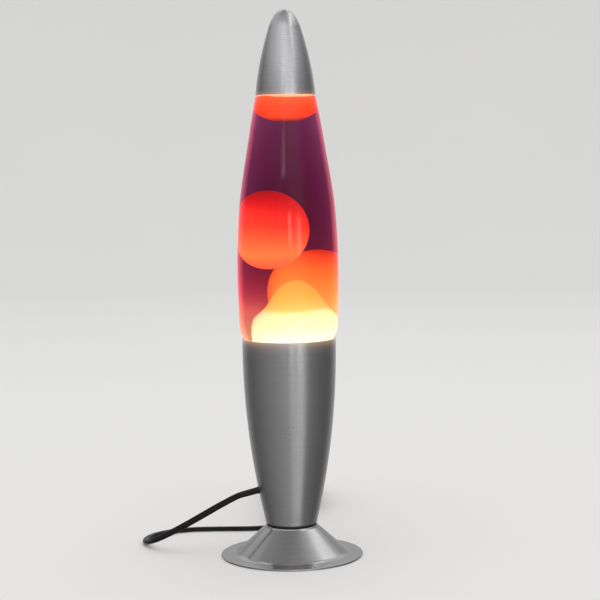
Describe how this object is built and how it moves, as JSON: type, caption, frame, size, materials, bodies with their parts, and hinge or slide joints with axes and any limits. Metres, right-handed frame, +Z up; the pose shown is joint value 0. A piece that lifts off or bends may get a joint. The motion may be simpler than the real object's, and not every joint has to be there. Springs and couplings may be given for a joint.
{
  "type": "lava lamp",
  "caption": "Liquid motion lamp: spun aluminium foot, cup and cap round a filled glass bottle, with wax in a tinted liquid above a reflector bulb, and a corded inline switch.",
  "frame": {"origin": "centre of the foot, on the surface it stands on", "axes": "+Z up along the lamp's axis, -X towards the cord exit, -Y towards the viewer"},
  "size_m": [0.1743, 0.3095, 0.42],
  "materials": {
    "spun_aluminium": "satin, with fine turning lines",
    "iron": "as cast, oiled",
    "pad": "matt",
    "neck_ring": "matt",
    "zinc_steel": "zinc plated",
    "coil_steel": "drawn wire",
    "holder_plastic": "moulded, satin",
    "brass": "pressed",
    "nickel": "nickel plated",
    "wire_brown": "extruded",
    "wire_blue": "extruded",
    "cord": "extruded, slightly glossy",
    "sleeve": "moulded, matt",
    "tie": "hook and loop strap",
    "switch_plastic": "moulded, satin gloss",
    "rocker_plastic": "moulded, glossy",
    "plug_plastic": "moulded, fine texture",
    "bulb_glass": "silvered reflector",
    "filament": "tungsten",
    "bottle_glass": "clear, polished",
    "liquid": "clear, deep purple",
    "wax_low": "molten, lit from below",
    "wax_mid": "molten, glowing",
    "wax_high": "molten, glowing",
    "closure_metal": "pressed",
    "liner": "soft"
  },
  "bodies": {
    "base": {"foot_shell": "spun_aluminium", "foot_weight": "iron", "foot_pad": "pad", "foot_bolt_washer": "zinc_steel", "foot_bolt": "zinc_steel", "neck_ring": "neck_ring", "cup_shell": "spun_aluminium", "lampholder_bracket": "zinc_steel", "bracket_washer": "zinc_steel", "bracket_nut": "zinc_steel", "lampholder_body": "holder_plastic", "lampholder_screw_left": "zinc_steel", "lampholder_screw_right": "zinc_steel", "terminal_screw_live": "brass", "terminal_screw_neutral": "brass", "wire_live": "wire_brown", "wire_neutral": "wire_blue", "lampholder_thread": "brass", "lampholder_contact": "brass", "cord_sleeve": "sleeve", "power_cord_lead": "cord", "power_cord_link": "cord", "power_cord_hank": "cord", "power_cord_tail": "cord", "cord_tie": "tie", "switch_base": "switch_plastic", "switch_cover": "switch_plastic", "switch_screw_1": "zinc_steel", "switch_screw_2": "zinc_steel", "switch_contact_in": "brass", "switch_contact_out": "brass", "plug_body": "plug_plastic", "plug_pin_left": "nickel", "plug_pin_right": "nickel"},
    "bottle": {"glass_bottle": "bottle_glass", "heating_coil": "coil_steel", "wax_pool": "wax_low", "wax_rising": "wax_mid", "wax_ball": "wax_mid", "wax_top": "wax_high", "liquid_fill": "liquid", "closure_liner": "liner", "bottle_closure": "closure_metal"},
    "cap": {"top_cap": "spun_aluminium"},
    "bulb": {"bulb_contact": "nickel", "bulb_insulator": "holder_plastic", "bulb_screw_shell": "nickel", "bulb_envelope": "bulb_glass", "bulb_stem": "bulb_glass", "bulb_filament": "filament"},
    "rocker": {"switch_rocker": "rocker_plastic"}
  },
  "joints": [
    {"name": "bottle_lift", "type": "slide", "parent": "base", "child": "bottle", "axis": [0, 0, 1], "range_m": [0, 0.06]},
    {"name": "cap_lift", "type": "slide", "parent": "bottle", "child": "cap", "axis": [0, 0, 1], "range_m": [0, 0.045]},
    {"name": "bulb_unscrew", "type": "slide", "parent": "base", "child": "bulb", "axis": [0, 0, 1], "range_m": [0, 0.02]},
    {"name": "rocker_tilt", "type": "hinge", "parent": "base", "child": "rocker", "pos_m": [-0.008, 0.133, 0.0132], "axis": [1, 0, 0], "range_deg": [-24, 0]}
  ]
}
